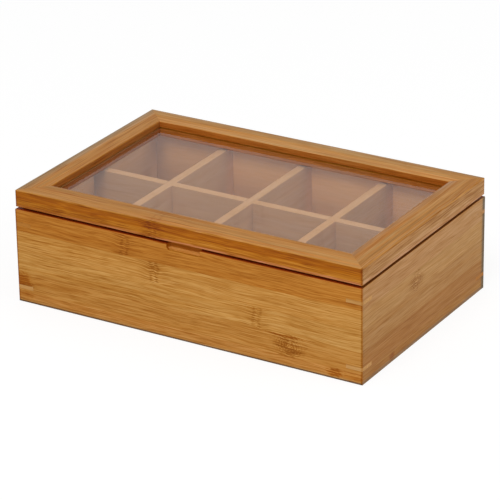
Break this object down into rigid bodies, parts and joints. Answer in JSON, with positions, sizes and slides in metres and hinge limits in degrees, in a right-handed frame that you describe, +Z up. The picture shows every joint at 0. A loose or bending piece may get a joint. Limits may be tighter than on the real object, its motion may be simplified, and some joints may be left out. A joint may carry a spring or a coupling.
{
  "type": "tea bag organizer box",
  "caption": "Low bamboo box with mitred, keyed corners, a grid of tea bag compartments, a finger notch and a hinged frame lid with a clear window.",
  "frame": {"origin": "on the table, at the middle of the overall footprint, which counts the hinges behind the back panel", "axes": "+X to the right of someone facing the finger notch, +Y from the notch to the hinges, +Z up"},
  "size_m": [0.31, 0.2056, 0.095],
  "materials": {
    "bamboo_base": "carbonised side-pressed bamboo, satin lacquer",
    "bamboo_lid": "carbonised side-pressed bamboo, satin lacquer",
    "bamboo_inside": "pale bamboo, sanded",
    "bamboo_key": "pale bamboo, satin lacquer",
    "clear_acrylic": "clear polished sheet",
    "hinge_brass": "plated, satin"
  },
  "bodies": {
    "base": {"front_panel": "bamboo_base", "back_panel": "bamboo_base", "left_panel": "bamboo_base", "right_panel": "bamboo_base", "bottom_panel": "bamboo_inside", "key_front_left_low": "bamboo_key", "key_front_left_high": "bamboo_key", "key_front_right_low": "bamboo_key", "key_front_right_high": "bamboo_key", "key_back_left_low": "bamboo_key", "key_back_left_high": "bamboo_key", "key_back_right_low": "bamboo_key", "key_back_right_high": "bamboo_key", "long_divider": "bamboo_inside", "cross_divider_left": "bamboo_inside", "cross_divider_middle": "bamboo_inside", "cross_divider_right": "bamboo_inside", "hinge_left_base_leaf": "hinge_brass", "hinge_right_base_leaf": "hinge_brass", "hinge_left_pin": "hinge_brass", "hinge_right_pin": "hinge_brass", "base_hinge_screws": "hinge_brass"},
    "lid": {"lid_front_rail": "bamboo_lid", "lid_back_rail": "bamboo_lid", "lid_left_stile": "bamboo_lid", "lid_right_stile": "bamboo_lid", "lid_window": "clear_acrylic", "hinge_left_lid_leaf": "hinge_brass", "hinge_right_lid_leaf": "hinge_brass", "lid_hinge_screws": "hinge_brass"}
  },
  "joints": [
    {"name": "lid_hinge", "type": "hinge", "parent": "base", "child": "lid", "pos_m": [0, 0.0994, 0.08], "axis": [-1, 0, 0], "range_deg": [0, 98]}
  ]
}
